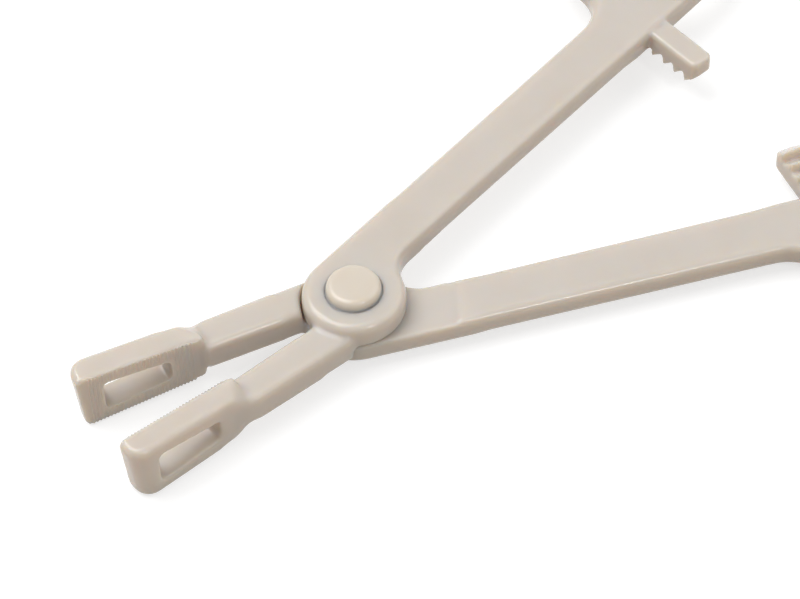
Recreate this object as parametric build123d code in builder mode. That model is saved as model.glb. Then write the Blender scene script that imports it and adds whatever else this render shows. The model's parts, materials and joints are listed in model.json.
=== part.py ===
from build123d import *
import os
from math import atan2, cos, radians, sin

# Disposable ratchet clamp, moulded in plastic: two levers, one turned over on the other, crossed
# on a headed pivot pin. Each lever carries a slotted and serrated jaw, a flat shank, a toothed
# ratchet arm and a finger ring. The jaws point along -X and the rings along +X. The pivot axis
# is Z, and the origin lies on it, on the flat end of the pin's lower head. Millimetres.

# ---- pivot pin
pin_radius = 3.0
head_radius = 5.1
head_top_radius = 4.2
head_height = 1.8
head_rim = 0.35                 # chamfer round each head's flat end
running_clearance = 0.05        # radial, in the upper lever's bore
head_clearance = 0.05           # under the upper head

# ---- hub
hub_radius = 9.0
hub_thickness = 4.5
lap_clearance = 0.1             # between the two hubs
hub_to_shoulder = 0.25          # round each hub, to the other lever's shoulders

# ---- pose: how far each lever is turned back from the closed clamp, in degrees
rest_half_angle = 8.0

# ---- shank, measured on the closed clamp
shank_inner_angle = 8.3
shank_outer_angle = 8.9
shank_inner_offset = 0.8        # the inner edge passes this far beyond the pivot axis
shank_extra = 0.3               # what the shank keeps beyond the middle plane
lap_radius = 18.4               # the shank is cut back to the middle plane inside this
crotch_radius = 6.1
outer_rounding = 1.6
lap_chamfer = 0.7

# ---- finger ring
ring_distance = 100.0           # pivot to ring centre, along the shank's inner edge
ring_outer_radius = 18.0
ring_hole_radius = 12.4
ring_chamfer = 1.1
ring_neck_radius = 8.0

# ---- neck of the jaw, measured on the closed clamp
neck_length = 26.8
neck_width_at_hub = 7.4
neck_width_at_blade = 6.6
neck_height = 6.0
neck_rounding = 1.3
neck_half_gap = 0.12            # at the pivot; the necks nearly meet at the blades
neck_end_half_gap = 0.06
neck_run_in = 4.4               # the neck's end narrows into the blade over this length

# ---- blade of the jaw
blade_start = 28.8
jaw_length = 50.1               # at the middle of the tip
blade_thickness = 5.2
blade_height_at_start = 10.7
blade_root_half_gap = 0.7
tip_half_gap = 0.05
blade_rounding = 1.2            # along the outer side and round the tip
tip_rounding = 3.0              # of the outer side's upright edge at the tip
tip_lean = 1.0                  # how far the tip recedes from the top rail to the bottom one
grip_rounding = 0.6             # round the gripping face
root_lead = 1.7                 # how far the blade's root stands behind its start
ramp_end = 2.4                  # the outer side has risen from the neck here
blend = 0.3                     # how deep one form of the jaw is let into the next

# ---- serrations of the gripping face
serration_pitch = 0.65
serration_height = 0.15
serration_start = 0.4
serration_count = 30

# ---- jaw window
rail_at_root = 3.3              # height left above and below the window
rail_at_tip = 2.7
window_root_margin = 4.7
window_tip_margin = 4.3
window_corner_radius = 1.0
window_chamfer = 0.35

# ---- ratchet arm and its teeth
upper_arm_radius = 80.2         # pivot to the near face of each lever's arm
lower_arm_radius = 82.5
arm_width = 4.8
arm_drop = 0.6                  # the arm's outer face lies this far below the shank's
arm_overreach = 0.45            # degrees past the middle line when the jaws meet
arm_root_angle = 11.5
tooth_count = 5
tooth_pitch = 1.97              # degrees about the pivot
first_tooth = 1.3               # degrees, the tooth nearest the free end
tooth_depth = 2.3
tooth_draft = 0.25              # degrees
tip_below_middle = 1.6
arm_end_radius = 1.4
arm_rounding = 0.7

# ---- levels and places that follow from the sizes above
middle = head_height + hub_thickness + lap_clearance / 2
hub_base = lap_clearance / 2
hub_top = hub_base + hub_thickness
upper_head_base = middle + hub_top + head_clearance
through = 4 * middle
blade_length = jaw_length - blade_start
blade_height_at_tip = 2 * middle
blade_lean = atan2(blade_root_half_gap - tip_half_gap, blade_length)
tip_way = (-cos(blade_lean), sin(blade_lean), 0)
outward = (-sin(blade_lean), -cos(blade_lean), 0)
blade_root = (-blade_start, -blade_root_half_gap, middle)
grip_plane = Plane(origin=blade_root, x_dir=tip_way, z_dir=outward)


def along(angle, distance, offset):
    """Point at a distance along a line through the pivot, set off to its left."""
    a = radians(angle)
    return (distance * cos(a) - offset * sin(a), distance * sin(a) + offset * cos(a))


def blade_point(distance, depth, height):
    """Point at a distance along the gripping plane, a depth behind it and a height over the middle."""
    return grip_plane.from_local_coords((distance, -height, depth))


def half_height(distance):
    """Half the blade's height at a distance from its start."""
    rise = (blade_height_at_tip - blade_height_at_start) / 2 / blade_length
    return blade_height_at_start / 2 + distance * rise


ring_centre = along(shank_inner_angle, ring_distance, ring_outer_radius - shank_inner_offset)


def clear_of_ring(edge):
    """True for an edge whose middle lies outside the finger ring."""
    point = edge @ 0.5
    return Vector(point.X - ring_centre[0], point.Y - ring_centre[1]).length > ring_outer_radius


def plate_blank():
    """Hub and shank of the upper lever on the closed clamp, flared into the finger ring."""
    ring_middle = (ring_outer_radius + ring_hole_radius) / 2
    with BuildPart() as plate:
        with BuildSketch(Plane.XY.offset(middle - shank_extra)) as outline:
            Circle(hub_radius)
            with BuildLine():
                Polyline(
                    along(shank_outer_angle, 0, hub_radius),
                    along(shank_outer_angle, ring_distance - ring_hole_radius, hub_radius),
                    ring_centre,
                    along(shank_inner_angle, ring_distance, -shank_inner_offset),
                    along(shank_inner_angle, 0, -shank_inner_offset),
                    close=True,
                )
            make_face()
            with Locations(ring_centre):
                Circle(ring_outer_radius)
            inner_line = Vector(*along(shank_inner_angle, hub_radius, -shank_inner_offset))
            fillet(outline.vertices().sort_by_distance(inner_line)[0], crotch_radius)
            outer_line = along(shank_outer_angle, ring_distance - ring_outer_radius, hub_radius)
            fillet(outline.vertices().sort_by_distance(Vector(*outer_line))[0], ring_neck_radius)
            # what lies beyond the flare belongs to the ring
            with BuildLine():
                Polyline(
                    ring_centre,
                    along(shank_inner_angle, ring_distance, -ring_outer_radius),
                    along(shank_inner_angle, -ring_outer_radius, -ring_outer_radius),
                    along(shank_inner_angle, -ring_outer_radius, ring_outer_radius),
                    along(shank_inner_angle, 0, ring_outer_radius - shank_inner_offset),
                    close=True,
                )
            make_face(mode=Mode.INTERSECT)
            with Locations(ring_centre):
                Circle(ring_middle, mode=Mode.SUBTRACT)
        extrude(amount=shank_extra + hub_top)
        top = plate.faces().filter_by(Axis.Z).sort_by(Axis.Z)[-1]
        fillet(top.edges().filter_by(clear_of_ring), outer_rounding)
        base = plate.faces().filter_by(Axis.Z).sort_by(Axis.Z)[0]
        chamfer(base.edges().filter_by(clear_of_ring), lap_chamfer)
        # the lap: inside this circle nothing lies below the hub's base
        with BuildSketch(Plane.XY.offset(middle + hub_base)):
            Circle(lap_radius)
        extrude(amount=-through, mode=Mode.SUBTRACT)
    return plate.part


def ring_blank():
    """The finger ring of the upper lever, on the closed clamp."""
    width = ring_outer_radius - ring_hole_radius
    height = shank_extra + hub_top
    foot = (*ring_centre, middle - shank_extra)
    with BuildPart() as ring:
        with BuildSketch(Plane(origin=foot, x_dir=(1, 0, 0), z_dir=(0, -1, 0))) as section:
            with Locations((ring_hole_radius + width / 2, height / 2)):
                Rectangle(width, height)
            chamfer(section.vertices(), ring_chamfer)
        revolve(axis=Axis(foot, (0, 0, 1)))
    return ring.part


def neck_blank():
    """The neck of the upper lever's jaw, from inside the hub into the blade."""
    hub_inside = hub_radius / 2
    slope = (neck_width_at_hub - neck_width_at_blade) / neck_length
    hub_width = neck_width_at_hub - slope * hub_inside
    end = neck_length + neck_run_in
    with BuildPart() as neck:
        with BuildSketch(Plane.XY.offset(middle)):
            with BuildLine():
                Polyline(
                    (-hub_inside, -neck_half_gap),
                    (-neck_length, -neck_end_half_gap),
                    (-end, -blade_root_half_gap - blade_thickness / 2),
                    (-end, -blade_root_half_gap - blade_thickness + blend),
                    (-neck_length, -neck_end_half_gap - neck_width_at_blade),
                    (-hub_inside, -neck_half_gap - hub_width),
                    close=True,
                )
            make_face()
        extrude(amount=neck_height / 2, both=True)
        ends = neck.faces().filter_by(Axis.Z)
        fillet(ends.edges(), neck_rounding)
    return neck.part


def serration_strip():
    """The ridges of the upper lever's gripping face, inside its rounded border."""
    last = serration_start + serration_count * serration_pitch
    with BuildPart() as strip:
        with BuildSketch(Plane(origin=blade_root, x_dir=tip_way, z_dir=(0, 0, 1))):
            with BuildLine():
                points = [(last, serration_height), (last, grip_rounding)]
                points.append((serration_start, grip_rounding))
                for ridge in range(serration_count):
                    foot = serration_start + ridge * serration_pitch
                    points.append((foot, serration_height))
                    points.append((foot + serration_pitch / 2, 0))
                Polyline(*points, close=True)
            make_face()
        extrude(amount=middle, both=True)
        low = half_height(serration_start) - grip_rounding - blend
        high = half_height(last) - grip_rounding - blend
        with BuildSketch(grip_plane):
            with BuildLine():
                Polyline(
                    (serration_start, -low),
                    (last, -high),
                    (last, high),
                    (serration_start, low),
                    close=True,
                )
            make_face()
        extrude(amount=grip_rounding, mode=Mode.INTERSECT)
    return strip.part


def blade_blank(lean):
    """The slotted and serrated blade of the upper lever's jaw, on the closed clamp."""
    depth = Axis(blade_root, outward)
    ridges = serration_strip()
    with BuildPart() as blade:
        # block: its side view, as thick as the blade
        with BuildSketch(grip_plane.offset(serration_height)):
            with BuildLine():
                Polyline(
                    (-root_lead, -half_height(-root_lead)),
                    (blade_length + lean / 2, -half_height(blade_length + lean / 2)),
                    (blade_length - lean / 2, half_height(blade_length - lean / 2)),
                    (-root_lead, half_height(-root_lead)),
                    close=True,
                )
            make_face()
        extrude(amount=blade_thickness - serration_height)
        end_face = blade.faces().sort_by(Axis.X)[0]
        fillet(end_face.edges().sort_by(depth)[-1], tip_rounding)
        for rail in blade.faces().sort_by(Axis.Z)[0], blade.faces().sort_by(Axis.Z)[-1]:
            rim = rail.edges().sort_by(depth)[1:].sort_by(Axis.X)[:-1]
            fillet(rim, blade_rounding)
        inside = blade.faces().sort_by(depth)[0]
        fillet(inside.edges().sort_by(Axis.X)[:-1], grip_rounding)
        # ramps: the root's outer corners are cut from the neck up to the rails
        for side in (1, -1):
            high_inside = blade_point(-root_lead, 0, side * half_height(-root_lead))
            high_outside = blade_point(ramp_end, blade_thickness, side * half_height(ramp_end))
            low_outside = blade_point(-root_lead, blade_thickness, side * (neck_height / 2 - blend))
            across = high_outside - high_inside
            cut = Plane(origin=high_inside, x_dir=across, z_dir=across.cross(low_outside - high_inside))
            split(bisect_by=cut, keep=Keep.BOTTOM if cut.z_dir.Z * side > 0 else Keep.TOP)
        add(ridges)
        # window through the blade, between two rails
        near = window_root_margin
        far = blade_length - window_tip_margin
        low = half_height(near) - rail_at_root
        high = half_height(far) - rail_at_tip
        with BuildSketch(grip_plane) as window:
            with BuildLine():
                Polyline((near, -low), (far, -high), (far, high), (near, low), close=True)
            make_face()
            fillet(window.vertices(), window_corner_radius)
        extrude(amount=blade_thickness, both=True, mode=Mode.SUBTRACT)
        outside = blade.faces().sort_by(depth)[-1]
        chamfer(outside.inner_wires()[0].edges(), window_chamfer)
    return blade.part


def arm_blank(near_radius):
    """The toothed ratchet arm of the upper lever, on the closed clamp."""
    per_degree = (near_radius + arm_width / 2) * radians(1)
    rise = tooth_depth / (tooth_pitch - tooth_draft)
    free_end = -arm_overreach * per_degree
    with BuildPart() as arm:
        side = Plane(origin=(near_radius, 0, middle), x_dir=(0, 1, 0), z_dir=(1, 0, 0))
        with BuildSketch(side):
            with BuildLine():
                points = [(free_end, hub_top - arm_drop)]
                points.append((free_end, (first_tooth + arm_overreach) * rise - tip_below_middle))
                for tooth in range(tooth_count):
                    tip = first_tooth + tooth * tooth_pitch
                    points.append((tip * per_degree, -tip_below_middle))
                    root = (tip + tooth_draft) * per_degree
                    points.append((root, tooth_depth - tip_below_middle))
                points.append((arm_root_angle * per_degree, tooth_depth - tip_below_middle))
                points.append((arm_root_angle * per_degree, hub_top - arm_drop))
                Polyline(*points, close=True)
            make_face()
        extrude(amount=arm_width)
        uprights = arm.edges().filter_by(Axis.Z).sort_by(Axis.Y)[:2]
        fillet(uprights, arm_end_radius)
        top = arm.faces().filter_by(Axis.Z).sort_by(Axis.Z)[-1]
        lever_end = top.edges().sort_by(Axis.Y)[-1:]
        fillet(top.edges() - lever_end, arm_rounding)
    return arm.part


def lever(arm_radius, lean):
    """One lever on the closed clamp, without its pivot bore."""
    neck = neck_blank()
    blade = blade_blank(lean)
    plate = plate_blank()
    ring = ring_blank()
    arm = arm_blank(arm_radius)
    with BuildPart() as whole:
        add(neck)
        add(blade)
        # below the lap, the jaw keeps clear of the other lever's hub
        with BuildSketch(Plane.XY.offset(middle + hub_base)):
            Circle(hub_radius + hub_to_shoulder)
        extrude(amount=-through, mode=Mode.SUBTRACT)
        add(plate)
        add(ring)
        add(arm)
    return whole.part


upper_blank = lever(upper_arm_radius, tip_lean).rotate(Axis.Z, rest_half_angle)
turned_over = lever(lower_arm_radius, -tip_lean).rotate(Axis((0, 0, middle), (1, 0, 0)), 180)
lower_blank = turned_over.rotate(Axis.Z, -rest_half_angle)

# upper lever: runs on the pin
with BuildPart() as upper_lever:
    add(upper_blank)
    with Locations((0, 0, middle)):
        Hole(pin_radius + running_clearance)

# lower lever: the same moulding turned over, with the pin fast in it
with BuildPart() as lower_lever:
    add(lower_blank)
    with Locations((0, 0, middle)):
        Hole(pin_radius)

# pivot pin: two tapered heads on one shank
with BuildPart() as pivot_pin:
    with Locations((0, 0, head_height)):
        Cone(head_top_radius, head_radius, head_height, align=(Align.CENTER, Align.CENTER, Align.MAX))
    with Locations((0, 0, upper_head_base)):
        Cone(head_radius, head_top_radius, head_height, align=(Align.CENTER, Align.CENTER, Align.MIN))
    rims = pivot_pin.edges().sort_by(Axis.Z)
    chamfer([rims[0], rims[-1]], head_rim)
    with BuildSketch(Plane.XY.offset(head_height)):
        Circle(pin_radius)
    extrude(amount=upper_head_base - head_height)

os.makedirs("parts", exist_ok=True)

upper_lever.part.label = "upper_lever"
export_step(upper_lever.part, "parts/upper_lever.step")

lower_lever.part.label = "lower_lever"
export_step(lower_lever.part, "parts/lower_lever.step")

pivot_pin.part.label = "pivot_pin"
export_step(pivot_pin.part, "parts/pivot_pin.step")
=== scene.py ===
"""Plastic ratchet forceps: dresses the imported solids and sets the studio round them."""

from __future__ import annotations

import json
import logging
from dataclasses import dataclass
from enum import Enum
from math import atan2, cos, pi, radians, sin
from typing import Any

import bmesh
import bpy
from mathutils import Matrix, Vector

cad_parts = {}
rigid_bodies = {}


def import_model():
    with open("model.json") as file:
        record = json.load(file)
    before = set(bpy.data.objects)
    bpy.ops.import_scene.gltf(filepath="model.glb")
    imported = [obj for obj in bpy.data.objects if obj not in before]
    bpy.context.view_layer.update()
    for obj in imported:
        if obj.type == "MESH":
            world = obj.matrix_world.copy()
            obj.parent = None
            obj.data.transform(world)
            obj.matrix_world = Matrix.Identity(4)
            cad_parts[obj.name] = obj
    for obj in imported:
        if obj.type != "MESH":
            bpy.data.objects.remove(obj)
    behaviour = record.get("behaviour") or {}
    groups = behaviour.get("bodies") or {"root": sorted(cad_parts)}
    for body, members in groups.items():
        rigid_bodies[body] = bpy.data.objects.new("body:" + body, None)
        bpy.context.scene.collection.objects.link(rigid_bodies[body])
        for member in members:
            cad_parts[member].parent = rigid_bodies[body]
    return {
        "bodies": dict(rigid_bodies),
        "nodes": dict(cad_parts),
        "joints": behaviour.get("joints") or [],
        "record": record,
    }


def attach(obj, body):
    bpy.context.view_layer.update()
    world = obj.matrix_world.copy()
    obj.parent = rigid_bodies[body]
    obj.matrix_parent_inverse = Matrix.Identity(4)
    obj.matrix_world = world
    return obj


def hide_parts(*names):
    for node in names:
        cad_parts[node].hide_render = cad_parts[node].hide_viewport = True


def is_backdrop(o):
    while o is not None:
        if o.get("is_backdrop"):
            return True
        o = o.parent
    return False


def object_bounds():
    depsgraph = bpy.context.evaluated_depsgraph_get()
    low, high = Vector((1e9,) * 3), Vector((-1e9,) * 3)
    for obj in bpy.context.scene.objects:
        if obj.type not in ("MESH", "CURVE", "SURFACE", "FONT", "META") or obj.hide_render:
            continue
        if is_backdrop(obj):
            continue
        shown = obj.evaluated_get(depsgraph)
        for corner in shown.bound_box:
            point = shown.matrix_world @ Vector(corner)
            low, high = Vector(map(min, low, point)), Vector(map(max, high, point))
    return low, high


LOG = logging.getLogger("forceps")
MM = 0.001
WELD = 0.001 * MM          # points nearer than this are one
SMOOTHING = 0.5            # how far one pass of a Smooth modifier goes
NOISE_MEAN = 0.5
WHITE = (1.0, 1.0, 1.0, 1.0)
Colour = tuple[float, float, float]
Place = tuple[float, float, float]


class Body(Enum):
    """The rigid bodies that the pieces ride on."""

    UPPER = "upper"
    LOWER = "lower"


class Node(Enum):
    """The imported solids."""

    UPPER_LEVER = "upper_lever"
    LOWER_LEVER = "lower_lever"
    PIVOT_PIN = "pivot_pin"


class Value:
    """A number socket with Python's arithmetic, so that node maths reads as an expression."""

    def __init__(self, tree: bpy.types.NodeTree, socket: bpy.types.NodeSocket) -> None:
        """Wraps an output socket.

        Args:
            tree: The tree that new Math nodes go into.
            socket: The output to wrap.
        """
        self.tree = tree
        self.socket = socket

    def _math(self, operation: str, first: Any, second: Any = None) -> Value:
        """Adds one Math node.

        Args:
            operation: The Math node's operation.
            first: A Value or a number.
            second: A Value or a number, or None for an operation on one input.

        Returns:
            The node's output.
        """
        node = self.tree.nodes.new("ShaderNodeMath")
        node.operation = operation
        for index, operand in enumerate((first, second)):
            if isinstance(operand, Value):
                self.tree.links.new(operand.socket, node.inputs[index])
            elif operand is not None:
                node.inputs[index].default_value = operand
        return Value(self.tree, node.outputs[0])

    def __add__(self, other: Any) -> Value:
        """Sum."""
        return self._math("ADD", self, other)

    def __radd__(self, other: Any) -> Value:
        """Sum with a number on the left."""
        return self._math("ADD", other, self)

    def __sub__(self, other: Any) -> Value:
        """Difference."""
        return self._math("SUBTRACT", self, other)

    def __rsub__(self, other: Any) -> Value:
        """Difference with a number on the left."""
        return self._math("SUBTRACT", other, self)

    def __mul__(self, other: Any) -> Value:
        """Product."""
        return self._math("MULTIPLY", self, other)

    def __rmul__(self, other: Any) -> Value:
        """Product with a number on the left."""
        return self._math("MULTIPLY", other, self)

    def over(self, other: Value) -> Value:
        """1 where the value is greater than the other, 0 elsewhere."""
        return self._math("GREATER_THAN", self, other)

    def of(self, operation: str) -> Value:
        """A Math node's operation on the value alone, such as COSINE."""
        return self._math(operation, self)

    def clamp(self) -> Value:
        """The value held between 0 and 1."""
        return self._math("MINIMUM", self._math("MAXIMUM", self, 0.0), 1.0)


class Tree:
    """A node tree under construction."""

    def __init__(self, tree: bpy.types.NodeTree) -> None:
        """Takes an empty tree.

        Args:
            tree: The tree.
        """
        self.tree = tree

    def node(self, kind: str, settings: dict[str, Any] | None = None,
             inputs: dict[str | int, Any] | None = None) -> bpy.types.Node:
        """Adds a node.

        Args:
            kind: The node's type.
            settings: Attributes, set before the sockets.
            inputs: A value, a Value, a socket or a list of sockets for each input, by name or number.

        Returns:
            The node.
        """
        made = self.tree.nodes.new(kind)
        for key, setting in (settings or {}).items():
            setattr(made, key, setting)
        for key, given in (inputs or {}).items():
            for source in given if isinstance(given, list) else [given]:
                source = source.socket if isinstance(source, Value) else source
                if isinstance(source, bpy.types.NodeSocket):
                    self.tree.links.new(source, made.inputs[key])
                else:
                    made.inputs[key].default_value = source
        return made

    def number(self, socket: bpy.types.NodeSocket) -> Value:
        """An output as a value that takes arithmetic."""
        return Value(self.tree, socket)


class Shader(Tree):
    """The node tree of a material or of the world."""

    def __init__(self, owner: bpy.types.ID) -> None:
        """Starts with an empty tree.

        Args:
            owner: The material or the world.
        """
        owner.use_nodes = True
        owner.node_tree.nodes.clear()
        super().__init__(owner.node_tree)

    def noise(self, place: bpy.types.NodeSocket, scale: float, octaves: float) -> Value:
        """Smooth noise, about 0.5 on average.

        Args:
            place: The coordinates.
            scale: Waves in a metre.
            octaves: How many finer waves are added to the first.

        Returns:
            The noise value.
        """
        made = self.node("ShaderNodeTexNoise", inputs={"Vector": place, "Scale": scale, "Detail": octaves})
        return self.number(made.outputs["Fac"])

    def bump(self, height: Value, distance: float,
             normal: bpy.types.NodeSocket | None = None) -> bpy.types.NodeSocket:
        """Raises the surface by a value.

        Args:
            height: The value.
            distance: How far a value of 1 raises it, in metres.
            normal: The normal of the bump that this one lies on, if there is one.

        Returns:
            The raised surface's normal.
        """
        inputs = {"Strength": 1.0, "Distance": distance, "Height": height}
        if normal is not None:
            inputs["Normal"] = normal
        return self.node("ShaderNodeBump", inputs=inputs).outputs["Normal"]


class GeometryTree(Tree):
    """A Geometry Nodes tree, which ends in Realize Instances and Set Material."""

    def __init__(self, name: str, sizes: dict[str, str]) -> None:
        """Starts a tree that takes a geometry and named sizes.

        Args:
            name: The tree's name.
            sizes: The socket type of each named size.
        """
        super().__init__(bpy.data.node_groups.new(name, "GeometryNodeTree"))
        sockets = self.tree.interface
        sockets.new_socket("Geometry", in_out="INPUT", socket_type="NodeSocketGeometry")
        for size, kind in sizes.items():
            sockets.new_socket(size, in_out="INPUT", socket_type=kind)
        sockets.new_socket("Geometry", in_out="OUTPUT", socket_type="NodeSocketGeometry")
        self.given = self.tree.nodes.new("NodeGroupInput").outputs

    def value(self, name: str) -> Value:
        """One of the tree's named sizes."""
        return self.number(self.given[name])

    def vector(self, x: Any = 0.0, y: Any = 0.0, z: Any = 0.0) -> bpy.types.NodeSocket:
        """A vector from three numbers or values."""
        return self.node("ShaderNodeCombineXYZ", inputs={"X": x, "Y": y, "Z": z}).outputs[0]

    def finish(self, geometry: bpy.types.NodeSocket) -> bpy.types.NodeTree:
        """Ends the tree.

        Args:
            geometry: What the tree has made.

        Returns:
            The tree.
        """
        realized = self.node("GeometryNodeRealizeInstances", inputs={0: geometry})
        covered = self.node("GeometryNodeSetMaterial", inputs={
            0: realized.outputs[0], "Material": self.given["Material"]})
        self.node("NodeGroupOutput", inputs={0: covered.outputs[0]})
        return self.tree


def added(name: str, data: bpy.types.ID) -> bpy.types.Object:
    """Adds an object to the scene.

    Args:
        name: The object's name.
        data: Its mesh, lamp or camera.

    Returns:
        The object.
    """
    made = bpy.data.objects.new(name, data)
    bpy.context.scene.collection.objects.link(made)
    return made


def grown(piece: bpy.types.Object, tree: bpy.types.NodeTree, sizes: dict[str, Any]) -> None:
    """Runs a Geometry Nodes tree on a piece and keeps the result as its plain mesh.

    Args:
        piece: The piece, whose mesh is the tree's geometry.
        tree: The tree.
        sizes: A value for each of the tree's named inputs.
    """
    modifier = piece.modifiers.new(tree.name, "NODES")
    modifier.node_group = tree
    for socket in tree.interface.items_tree:
        if socket.in_out == "INPUT" and socket.name in sizes:
            modifier[socket.identifier] = sizes[socket.name]
    settle(piece)


def settle(piece: bpy.types.Object) -> None:
    """Turns a piece's modifiers into its plain mesh.

    Args:
        piece: The piece.
    """
    depsgraph = bpy.context.evaluated_depsgraph_get()
    made = bpy.data.meshes.new_from_object(piece.evaluated_get(depsgraph))
    piece.modifiers.clear()
    worn, piece.data = piece.data, made
    made.name = piece.name
    bpy.data.meshes.remove(worn)


@dataclass(frozen=True)
class MouldedPlastic:
    """Injection-moulded plastic: gloss over a faint flow mottle, slightly milky."""

    name: str
    colour: Colour
    deep_colour: Colour
    roughness: float = 0.2
    roughness_spread: float = 0.12
    mottle_scale: float = 90.0
    mottle_octaves: float = 2.0
    mottle_contrast: float = 1.6
    mottle_cut: float = 0.3
    grain_scale: float = 1500.0
    grain_octaves: float = 2.0
    grain_height: float = 0.000012
    wave_scale: float = 210.0
    wave_octaves: float = 1.0
    wave_height: float = 0.00006
    scatter_weight: float = 0.9
    scatter_radius: Colour = (0.0052, 0.0036, 0.0022)
    refraction: float = 1.49

    def build(self) -> bpy.types.Material:
        """Makes the material.

        Returns:
            The material.
        """
        material = bpy.data.materials.new(self.name)
        shader = Shader(material)
        place = shader.node("ShaderNodeTexCoord").outputs["Object"]
        mottle = shader.noise(place, self.mottle_scale, self.mottle_octaves)
        grain = shader.noise(place, self.grain_scale, self.grain_octaves)
        wave = shader.noise(place, self.wave_scale, self.wave_octaves)
        tint = shader.node("ShaderNodeMix", {"data_type": "RGBA"}, {
            "Factor": (mottle * self.mottle_contrast - self.mottle_cut).clamp(),
            "A": (*self.deep_colour, 1.0),
            "B": (*self.colour, 1.0),
        })
        waves = shader.bump(wave, self.wave_height)
        surface = shader.node("ShaderNodeBsdfPrincipled", inputs={
            "Base Color": tint.outputs["Result"],
            "Roughness": self.roughness + (mottle - NOISE_MEAN) * self.roughness_spread,
            "IOR": self.refraction,
            "Subsurface Weight": self.scatter_weight,
            "Subsurface Radius": self.scatter_radius,
            "Subsurface Scale": 1.0,
            "Normal": shader.bump(grain, self.grain_height, waves),
        })
        shader.node("ShaderNodeOutputMaterial", inputs={"Surface": surface.outputs["BSDF"]})
        return material


@dataclass(frozen=True)
class StudioSheet:
    """Plain pale sheet that shows as clean white and still takes the tool's shadow."""

    name: str = "studio_sheet"
    colour: Colour = (0.54, 0.465, 0.37)
    shown_colour: Colour = (0.42, 0.42, 0.42)
    lift: float = 0.66

    def build(self) -> bpy.types.Material:
        """Makes the material.

        Returns:
            The material.
        """
        material = bpy.data.materials.new(self.name)
        shader = Shader(material)
        sheet = shader.node("ShaderNodeBsdfDiffuse", inputs={"Color": (*self.colour, 1.0)})
        shown = shader.node("ShaderNodeBsdfDiffuse", inputs={"Color": (*self.shown_colour, 1.0)})
        glow = shader.node("ShaderNodeEmission", inputs={"Color": WHITE, "Strength": self.lift})
        both = shader.node("ShaderNodeAddShader", inputs={
            0: shown.outputs["BSDF"], 1: glow.outputs["Emission"]})
        rays = shader.node("ShaderNodeLightPath").outputs
        seen = shader.number(rays["Is Camera Ray"])
        mirrored = shader.number(rays["Is Glossy Ray"])
        through = shader.number(rays["Is Transmission Ray"])
        mix = shader.node("ShaderNodeMixShader", inputs={
            "Fac": (seen + mirrored + through).clamp(),
            1: sheet.outputs["BSDF"],
            2: both.outputs["Shader"],
        })
        shader.node("ShaderNodeOutputMaterial", inputs={"Surface": mix.outputs["Shader"]})
        return material


@dataclass(frozen=True)
class Hand:
    """One of the two levers: the lower one is the upper one turned over about the X axis at mid height."""

    node: Node
    body: Body
    turned_over: bool
    middle: float = 6.35

    def as_upper(self, point: Vector) -> Vector:
        """Turns a point of this lever into the same point of the upper lever, in millimetres."""
        if not self.turned_over:
            return point
        return Vector((point.x, -point.y, 2 * self.middle - point.z))


@dataclass(frozen=True)
class Blend:
    """A stretch of the upper lever where one form flows softly into the next, in millimetres."""

    name: str
    centre: Place
    reach: Place
    passes: int
    turn: float = 0.0
    edge: float = 0.35

    def weight(self, point: Vector) -> float:
        """How strongly the stretch is smoothed at a point.

        Args:
            point: A point of the upper lever, in millimetres, with the clamp at rest.

        Returns:
            1 well inside the stretch, 0 outside it.
        """
        off = Matrix.Rotation(-radians(self.turn), 3, "Z") @ (point - Vector(self.centre))
        inside = min(1.0 - abs(part) / limit for part, limit in zip(off, self.reach))
        return max(0.0, min(1.0, inside / self.edge))


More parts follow.
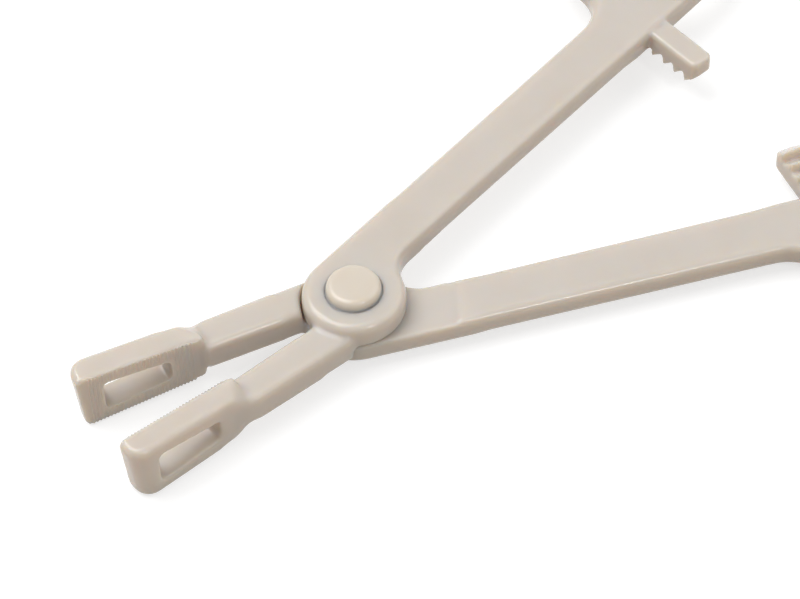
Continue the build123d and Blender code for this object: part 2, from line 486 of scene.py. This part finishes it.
@dataclass(frozen=True)
class GripRidges:
    """The fine cross ridges of a blade's gripping face, above and below its window, in millimetres."""

    root: Place = (-28.8, -0.7, 6.35)
    rest_turn: float = radians(8.0)
    tip_gap: float = 0.05
    blade_length: float = 21.3
    height: float = 10.7
    tip_gain: float = 2.0
    first: float = 0.4
    pitch: float = 0.65
    count: int = 30
    floor: float = 0.15
    proud: float = 0.085
    depth: float = 0.26
    end_margin: float = 0.34
    window_start: float = 4.5
    window_end: float = 17.2
    rail: float = 2.75
    overlap: float = 0.02
    border: float = 0.55
    reach_out: float = 0.1
    reach_in: float = 0.45

    @property
    def turn(self) -> float:
        """Angle from +X to the way from the blade's root to its tip, on the upper lever."""
        return pi - atan2(-self.root[1] - self.tip_gap, self.blade_length) + self.rest_turn

    @property
    def growth(self) -> float:
        """How much higher the blade gets over each millimetre of its length."""
        return self.tip_gain / self.blade_length

    @property
    def origin(self) -> Vector:
        """The blade's root on the upper lever, with the clamp at rest."""
        return Matrix.Rotation(self.rest_turn, 3, "Z") @ Vector(self.root)

    def local(self, point: Vector) -> Vector:
        """A point of the upper lever as distance along the blade, depth into it and height."""
        return Matrix.Rotation(-self.turn, 3, "Z") @ (point - self.origin)

    def outside(self, local: Vector) -> Vector:
        """The reverse of local()."""
        return Matrix.Rotation(self.turn, 3, "Z") @ local + self.origin

    def tree(self) -> bpy.types.NodeTree:
        """Makes the tree that sets three-sided ridges in a row on a blade, above and below its window.

        Returns:
            The tree.
        """
        number, vector = "NodeSocketFloat", "NodeSocketVector"
        grow = GeometryTree("grip_ridges", {
            "Count": "NodeSocketInt", "First": number, "Pitch": number, "Depth": number, "Crest": number,
            "Reach": number, "Growth": number, "Window Start": number, "Window End": number,
            "Window Inset": number, "Overlap": number, "Origin": vector, "Turn": vector,
            "Material": "NodeSocketMaterial"})

        # one ridge: a three-sided bar with one edge out, as wide as the pitch and one unit long
        triangle_height, triangle_side = 1.5, 3 ** 0.5
        pitch = grow.value("Pitch")
        radius = grow.value("Depth") * (1 / triangle_height)
        bar = grow.node("GeometryNodeMeshCylinder", {"fill_type": "NGON"}, {
            "Vertices": 3, "Radius": 1.0, "Depth": 1.0})
        ridge = grow.node("GeometryNodeTransform", inputs={
            "Geometry": bar.outputs["Mesh"],
            "Translation": grow.vector(y=grow.value("Crest") + radius),
            "Rotation": (0.0, 0.0, -pi / 2),
            "Scale": grow.vector(radius, pitch * (1 / triangle_side), 1.0),
        })

        # where each ridge stands, how high it reaches, and where the window interrupts it
        index = grow.number(grow.node("GeometryNodeInputIndex").outputs[0])
        along = grow.value("First") + (index + 0.5) * pitch
        reach = grow.value("Reach") + along * grow.value("Growth")
        at_window = along.over(grow.value("Window Start")) * grow.value("Window End").over(along)
        inner = at_window * (reach - grow.value("Window Inset"))
        row = grow.node("GeometryNodeMeshLine", {"mode": "OFFSET"}, {
            "Count": grow.given["Count"], "Offset": (0.0, 0.0, 0.0)})
        rows = []
        for half in (0.5, -0.5):
            spread = grow.node("GeometryNodeSetPosition", inputs={
                "Geometry": row.outputs[0], "Position": grow.vector(x=along, z=(reach + inner) * half)})
            bars = grow.node("GeometryNodeInstanceOnPoints", inputs={
                "Points": spread.outputs[0],
                "Instance": ridge.outputs[0],
                "Scale": grow.vector(1.0, 1.0, reach - inner + grow.value("Overlap")),
            })
            rows.append(bars.outputs[0])

        # onto the lever's blade, and into one surface with it
        ridges = grow.node("GeometryNodeJoinGeometry", inputs={0: rows})
        turn = grow.node("FunctionNodeEulerToRotation", inputs={0: grow.given["Turn"]})
        placed = grow.node("GeometryNodeTransform", inputs={
            "Geometry": ridges.outputs[0],
            "Translation": grow.given["Origin"],
            "Rotation": turn.outputs[0],
        })
        realized = grow.node("GeometryNodeRealizeInstances", inputs={0: placed.outputs[0]})
        united = grow.node("GeometryNodeMeshBoolean", {"operation": "UNION", "solver": "MANIFOLD"}, {
            1: [realized.outputs[0], grow.given["Geometry"]]})
        return grow.finish(united.outputs[0])

    def sizes(self, hand: Hand, material: bpy.types.Material) -> dict[str, Any]:
        """The tree's sizes for one lever.

        Args:
            hand: The lever.
            material: Its material.

        Returns:
            A value for each named input, in metres and radians.
        """
        origin = hand.as_upper(self.origin)
        turn = (pi, 0.0, -self.turn) if hand.turned_over else (0.0, 0.0, self.turn)
        return {
            "Count": self.count,
            "First": self.first * MM,
            "Pitch": self.pitch * MM,
            "Depth": self.depth * MM,
            "Crest": (self.floor - self.proud) * MM,
            "Reach": (self.height / 2 - self.end_margin) * MM,
            "Growth": self.growth / 2,
            "Window Start": self.window_start * MM,
            "Window End": self.window_end * MM,
            "Window Inset": (self.rail - self.end_margin) * MM,
            "Overlap": self.overlap * MM,
            "Origin": tuple(origin * MM),
            "Turn": turn,
            "Material": material,
        }

    def flatten(self, mesh: bpy.types.Mesh, hand: Hand) -> None:
        """Levels the gripping face that the ridges stand on.

        Args:
            mesh: The lever's even mesh.
            hand: The lever.
        """
        end = self.first + self.count * self.pitch + self.pitch
        for vertex in mesh.vertices:
            local = self.local(hand.as_upper(vertex.co / MM))
            room = (self.height + self.growth * local.x) / 2 - self.border
            on_face = -self.reach_out < local.y < self.reach_in
            if on_face and -self.pitch < local.x < end and abs(local.z) < room:
                local.y = self.floor
                vertex.co = hand.as_upper(self.outside(local)) * MM


@dataclass
class Levers:
    """The two mouldings: each is its solid with an even skin, softened where its forms meet."""

    finish: MouldedPlastic = MouldedPlastic(
        "ivory_plastic", colour=(0.590, 0.546, 0.500), deep_colour=(0.562, 0.513, 0.455))
    hands: tuple[Hand, ...] = (
        Hand(Node.UPPER_LEVER, Body.UPPER, turned_over=False),
        Hand(Node.LOWER_LEVER, Body.LOWER, turned_over=True),
    )
    skin: float = 0.3
    even_passes: int = 4
    crease: float = radians(40.0)
    ridges: GripRidges = GripRidges()
    blends: tuple[Blend, ...] = (
        Blend("blade_root", (-28.9, -9.2, 6.35), (4.2, 4.7, 9.0), passes=80, turn=8.0),
        Blend("neck_root", (-9.6, -5.0, 9.6), (3.0, 5.5, 2.6), passes=40, turn=8.0),
        Blend("shoulder", (-8.9, -4.6, 2.6), (3.6, 5.5, 3.7), passes=90, turn=8.0, edge=0.25),
        Blend("shank", (46.0, 13.7, 6.35), (29.0, 10.0, 7.0), passes=80, turn=16.6, edge=0.12),
        Blend("ring", (91.2, 44.6, 6.35), (20.0, 20.0, 9.0), passes=14, edge=0.1),
        Blend("lap_step", (18.0, 5.6, 6.35), (2.2, 9.0, 1.5), passes=30, turn=16.5),
    )

    def skinned(self, node: bpy.types.Object, hand: Hand) -> bpy.types.Object:
        """Copies a lever's solid and gives the copy an even mesh.

        Args:
            node: The solid.
            hand: The lever.

        Returns:
            The new piece.
        """
        mesh = node.data.copy()
        mesh.name = hand.node.value + "_moulding"
        merged = bmesh.new()
        merged.from_mesh(mesh)
        bmesh.ops.remove_doubles(merged, verts=merged.verts, dist=WELD)
        merged.to_mesh(mesh)
        merged.free()
        mesh.materials.clear()
        piece = added(mesh.name, mesh)
        skin = piece.modifiers.new("skin", "REMESH")
        skin.mode = "VOXEL"
        skin.voxel_size = self.skin * MM
        skin.use_smooth_shade = True
        settle(piece)
        return piece

    def soften(self, piece: bpy.types.Object, hand: Hand) -> None:
        """Softens the meetings of a lever's forms.

        Args:
            piece: The lever's even mesh.
            hand: The lever.
        """
        points = [hand.as_upper(vertex.co / MM) for vertex in piece.data.vertices]
        for blend in self.blends:
            group = piece.vertex_groups.new(name=blend.name)
            for index, point in enumerate(points):
                weight = blend.weight(point)
                if weight:
                    group.add([index], weight, "REPLACE")
            smooth = piece.modifiers.new(blend.name, "SMOOTH")
            smooth.factor = SMOOTHING
            smooth.iterations = blend.passes
            smooth.vertex_group = blend.name
        evened = piece.modifiers.new("even", "SMOOTH")
        evened.factor = SMOOTHING
        evened.iterations = self.even_passes
        settle(piece)
        self.ridges.flatten(piece.data, hand)

    def build(self, frame: dict[str, Any]) -> list[bpy.types.Object]:
        """Makes both levers.


        Returns:
            The pieces.
        """
        material = self.finish.build()
        tree = self.ridges.tree()
        pieces = []
        for hand in self.hands:
            piece = self.skinned(frame["nodes"][hand.node.value], hand)
            self.soften(piece, hand)
            grown(piece, tree, self.ridges.sizes(hand, material))
            piece.data.shade_smooth()
            piece.data.set_sharp_from_angle(angle=self.crease)
            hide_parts(hand.node.value)
            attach(piece, hand.body.value)
            pieces.append(piece)
        return pieces


@dataclass
class PivotPin:
    """The headed pin that holds the levers together, turned from one profile in millimetres."""

    finish: MouldedPlastic = MouldedPlastic(
        "cream_plastic", colour=(0.650, 0.590, 0.515), deep_colour=(0.630, 0.565, 0.480),
        scatter_radius=(0.0022, 0.0018, 0.0014))
    height: float = 12.75
    head_height: float = 1.83
    head_radius: float = 5.1
    barrel_radius: float = 4.8
    foot: float = 0.32
    shank_radius: float = 2.97
    crown: float = 0.12
    shoulder: float = 3.3
    fullness_across: float = 0.9
    fullness_down: float = 0.8
    facets: int = 96
    arc_steps: int = 14

    def head(self) -> list[tuple[float, float]]:
        """The upper head's half section, from its centre to the shank.

        Returns:
            Radius and height of each point, in millimetres.
        """
        arc = [pi / 2 * step / self.arc_steps for step in range(1, self.arc_steps + 1)]
        rim, base = self.height - self.crown, self.height - self.head_height
        points = []
        for step in range(self.arc_steps + 1):
            across = self.shoulder * step / self.arc_steps
            points.append((across, self.height - self.crown * (across / self.shoulder) ** 2))
        wide, tall = self.barrel_radius - self.shoulder, self.head_height - self.crown - self.foot
        for angle in arc:
            across = self.shoulder + wide * sin(angle) ** self.fullness_across
            points.append((across, rim - tall * (1 - cos(angle) ** self.fullness_down)))
        flare = self.head_radius - self.barrel_radius
        for angle in arc:
            across = self.barrel_radius + flare * (1 - cos(angle))
            points.append((across, base + self.foot * (1 - sin(angle))))
        points.append((self.shank_radius, base))
        return points

    def profile(self) -> list[tuple[float, float]]:
        """The whole pin's half section, from the lower centre to the upper one, in millimetres."""
        head = self.head()
        return [(across, self.height - level) for across, level in head] + head[::-1]

    def tree(self) -> bpy.types.NodeTree:
        """Makes the tree that turns a profile about the Z axis.

        Returns:
            The tree.
        """
        turn = GeometryTree("lathe", {"Facets": "NodeSocketInt", "Material": "NodeSocketMaterial"})
        count = turn.node("GeometryNodeAttributeDomainSize", {"component": "MESH"}, {
            0: turn.given["Geometry"]})
        points = turn.number(count.outputs["Point Count"])
        sheet = turn.node("GeometryNodeMeshGrid", inputs={
            "Size X": 1.0, "Size Y": 1.0, "Vertices X": points, "Vertices Y": turn.value("Facets") + 1.0})

        # the unit sheet's X picks a point of the profile, and its Y is the way round
        here = turn.node("GeometryNodeInputPosition").outputs[0]
        place = turn.node("ShaderNodeSeparateXYZ", inputs={0: here})
        along = (turn.number(place.outputs["X"]) + 0.5) * (points - 1.0)
        section = turn.node("GeometryNodeSampleIndex", {"data_type": "FLOAT_VECTOR"}, {
            "Geometry": turn.given["Geometry"], "Value": here, "Index": along.of("ROUND")})
        parts = turn.node("ShaderNodeSeparateXYZ", inputs={0: section.outputs[0]})
        across = turn.number(parts.outputs["X"])
        angle = (turn.number(place.outputs["Y"]) + 0.5) * (2 * pi)
        where = turn.vector(across * angle.of("COSINE"), across * angle.of("SINE"), parts.outputs["Z"])
        moved = turn.node("GeometryNodeSetPosition", inputs={
            "Geometry": sheet.outputs["Mesh"], "Position": where})
        closed = turn.node("GeometryNodeMergeByDistance", inputs={
            "Geometry": moved.outputs[0], "Distance": WELD})
        return turn.finish(closed.outputs[0])

    def build(self, frame: dict[str, Any]) -> list[bpy.types.Object]:
        """Turns the pin.


        Returns:
            The piece.
        """
        points = [(across * MM, 0.0, level * MM) for across, level in self.profile()]
        mesh = bpy.data.meshes.new("headed_pin")
        mesh.from_pydata(points, [(index, index + 1) for index in range(len(points) - 1)], [])
        piece = added("headed_pin", mesh)
        grown(piece, self.tree(), {"Facets": self.facets, "Material": self.finish.build()})
        piece.data.shade_smooth()
        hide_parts(Node.PIVOT_PIN.value)
        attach(piece, Body.LOWER.value)
        return [piece]


@dataclass(frozen=True)
class SoftLamp:
    """One square softbox, in metres and watts."""

    name: str
    place: Place
    size: float
    power: float

    def build(self, target: Vector) -> None:
        """Makes the lamp and turns it to the target.

        Args:
            target: The point it faces.
        """
        data = bpy.data.lights.new(self.name, "AREA")
        data.shape = "SQUARE"
        data.size = self.size
        data.energy = self.power
        lamp = added(self.name, data)
        lamp.location = Vector(self.place)
        lamp.rotation_euler = (target - Vector(self.place)).to_track_quat("-Z", "Y").to_euler()


@dataclass
class Studio:
    """Sheet, lamps, world and camera."""

    elevation: float = 50.865
    turn: float = 30.922
    roll: float = -1.977
    distance: float = 0.525892
    aim: Place = (10.299, 1.859, -0.56)
    lens: float = 135.0
    sensor: float = 36.0
    nearest: float = 0.01
    farthest: float = 20.0
    floor_gap: float = 0.05 * MM
    floor_size: float = 6.0
    world_strength: float = 0.38
    sheet: StudioSheet = StudioSheet()
    lamps: tuple[SoftLamp, ...] = (
        SoftLamp("key_lamp", (-0.3, 0.4, 1.0), size=0.9, power=10.5),
        SoftLamp("fill_lamp", (0.9, -0.2, 0.8), size=0.9, power=3.0),
        SoftLamp("edge_lamp", (0.08, -0.6, 0.75), size=0.12, power=1.2),
    )

    @property
    def target(self) -> Vector:
        """The point that the camera and the lamps face, in metres."""
        return Vector(self.aim) * MM

    def camera(self) -> None:
        """Makes the camera, and makes it the scene's."""
        lift, turn, roll = radians(self.elevation), radians(self.turn), radians(self.roll)
        ahead = Vector((cos(lift) * sin(turn), cos(lift) * cos(turn), -sin(lift)))
        level_right = Vector((cos(turn), -sin(turn), 0.0))
        level_up = level_right.cross(ahead)
        right = level_right * cos(roll) + level_up * sin(roll)
        up = level_up * cos(roll) - level_right * sin(roll)
        data = bpy.data.cameras.new("camera")
        data.lens = self.lens
        data.sensor_width = self.sensor
        data.clip_start = self.nearest
        data.clip_end = self.farthest
        camera = added("camera", data)
        turned = Matrix((right, up, -ahead)).transposed()
        camera.matrix_world = Matrix.Translation(self.target - ahead * self.distance) @ turned.to_4x4()
        bpy.context.scene.camera = camera

    def floor(self, lowest: float) -> None:
        """Makes the sheet just under the tool.

        Args:
            lowest: Height of the tool's lowest point, in metres.
        """
        half = self.floor_size / 2
        height = lowest - self.floor_gap
        corners = [(x * half, y * half, height) for x, y in ((-1, -1), (1, -1), (1, 1), (-1, 1))]
        mesh = bpy.data.meshes.new("studio_floor")
        mesh.from_pydata(corners, [], [(0, 1, 2, 3)])
        mesh.materials.append(self.sheet.build())
        floor = added("studio_floor", mesh)
        floor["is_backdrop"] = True

    def world(self) -> None:
        """Sets an even world, which the camera sees as plain white."""
        world = bpy.data.worlds.new("studio_world")
        bpy.context.scene.world = world
        shader = Shader(world)
        fill = shader.node("ShaderNodeBackground", inputs={"Color": WHITE, "Strength": self.world_strength})
        seen = shader.node("ShaderNodeBackground", inputs={"Color": WHITE, "Strength": 1.0})
        rays = shader.node("ShaderNodeLightPath")
        mix = shader.node("ShaderNodeMixShader", inputs={
            "Fac": rays.outputs["Is Camera Ray"],
            1: fill.outputs["Background"],
            2: seen.outputs["Background"],
        })
        shader.node("ShaderNodeOutputWorld", inputs={"Surface": mix.outputs["Shader"]})

    def build(self, lowest: float) -> None:
        """Makes everything round the tool.

        Args:
            lowest: Height of the tool's lowest point, in metres.
        """
        self.camera()
        self.floor(lowest)
        self.world()
        for lamp in self.lamps:
            lamp.build(self.target)
        bpy.context.scene.view_settings.view_transform = "Standard"


def main() -> None:
    """Builds everything in order and reports each piece."""
    logging.basicConfig(level=logging.INFO, format="%(message)s")
    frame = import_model()
    cad_low, cad_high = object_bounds()
    Studio().build(cad_low[2])
    for assembly in (Levers(), PivotPin()):
        for piece in assembly.build(frame):
            LOG.info("made %s", piece.name)


if __name__ == "__main__":
    main()
